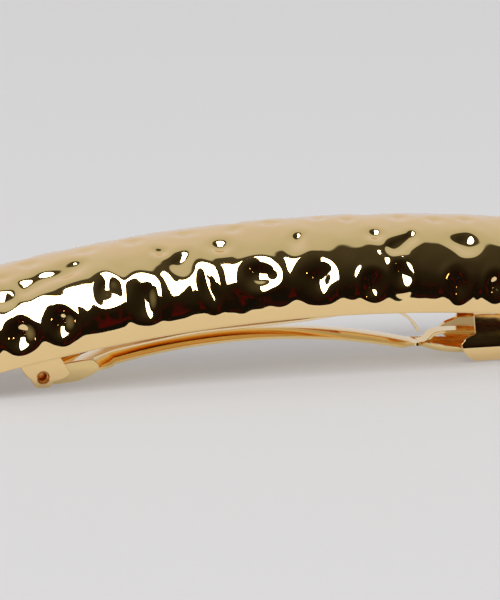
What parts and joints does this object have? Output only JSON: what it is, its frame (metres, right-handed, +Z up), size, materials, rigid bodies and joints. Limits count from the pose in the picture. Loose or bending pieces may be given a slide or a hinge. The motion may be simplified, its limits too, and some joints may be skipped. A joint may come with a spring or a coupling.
{
  "type": "barrette",
  "caption": "Arched hammered metal barrette with a hinged clamp arm, a bow spring and a pinch clasp that holds a lock of hair.",
  "frame": {"origin": "the centre of the object's box at the level of the table it stands on: below the middle of the cover, at z = 0", "axes": "X along the clip with the hinge at -X and the clasp at +X, Y across it, Z up from the table through the cover"},
  "size_m": [0.0814, 0.0184, 0.0176],
  "materials": {
    "hammered_gold": "hammered, gold plated and polished to a mirror",
    "clip_gold": "gold plated sheet, polished",
    "arm_gold": "gold plated sheet, polished, faintly drawn lengthwise",
    "spring_gold": "pale gold plated spring strip, polished",
    "rivet_gold": "gold plated, satin"
  },
  "bodies": {
    "ornament": {"cover_shell": "hammered_gold", "bridge_hinge": "clip_gold", "bridge_clasp": "clip_gold", "base_plate": "clip_gold", "rivet_hinge": "rivet_gold", "rivet_clasp": "rivet_gold", "hinge_pin": "rivet_gold", "clasp_frame": "clip_gold", "clasp_rivet": "rivet_gold"},
    "arm": {"clamp_arm": "arm_gold"},
    "bow": {"bow_spring": "spring_gold"},
    "front_wing": {"wing_front": "clip_gold"},
    "rear_wing": {"wing_rear": "clip_gold"}
  },
  "joints": [
    {"name": "arm_swing", "type": "hinge", "parent": "ornament", "child": "arm", "pos_m": [-0.026, 0, 0.00125], "axis": [0, 1, 0], "range_deg": [0, 100]},
    {"name": "bow_lift", "type": "hinge", "parent": "ornament", "child": "bow", "pos_m": [-0.026, 0, 0.00125], "axis": [0, -1, 0], "range_deg": [0, 1.2], "stiffness_Nm_per_rad": 1},
    {"name": "front_wing_pinch", "type": "hinge", "parent": "ornament", "child": "front_wing", "pos_m": [0.0283, -0.0035, 0.0056], "axis": [1, 0, 0], "range_deg": [-8, 2], "stiffness_Nm_per_rad": 0.3},
    {"name": "rear_wing_pinch", "type": "hinge", "parent": "ornament", "child": "rear_wing", "pos_m": [0.0283, 0.0035, 0.0056], "axis": [1, 0, 0], "range_deg": [-2, 8], "stiffness_Nm_per_rad": 0.3}
  ]
}
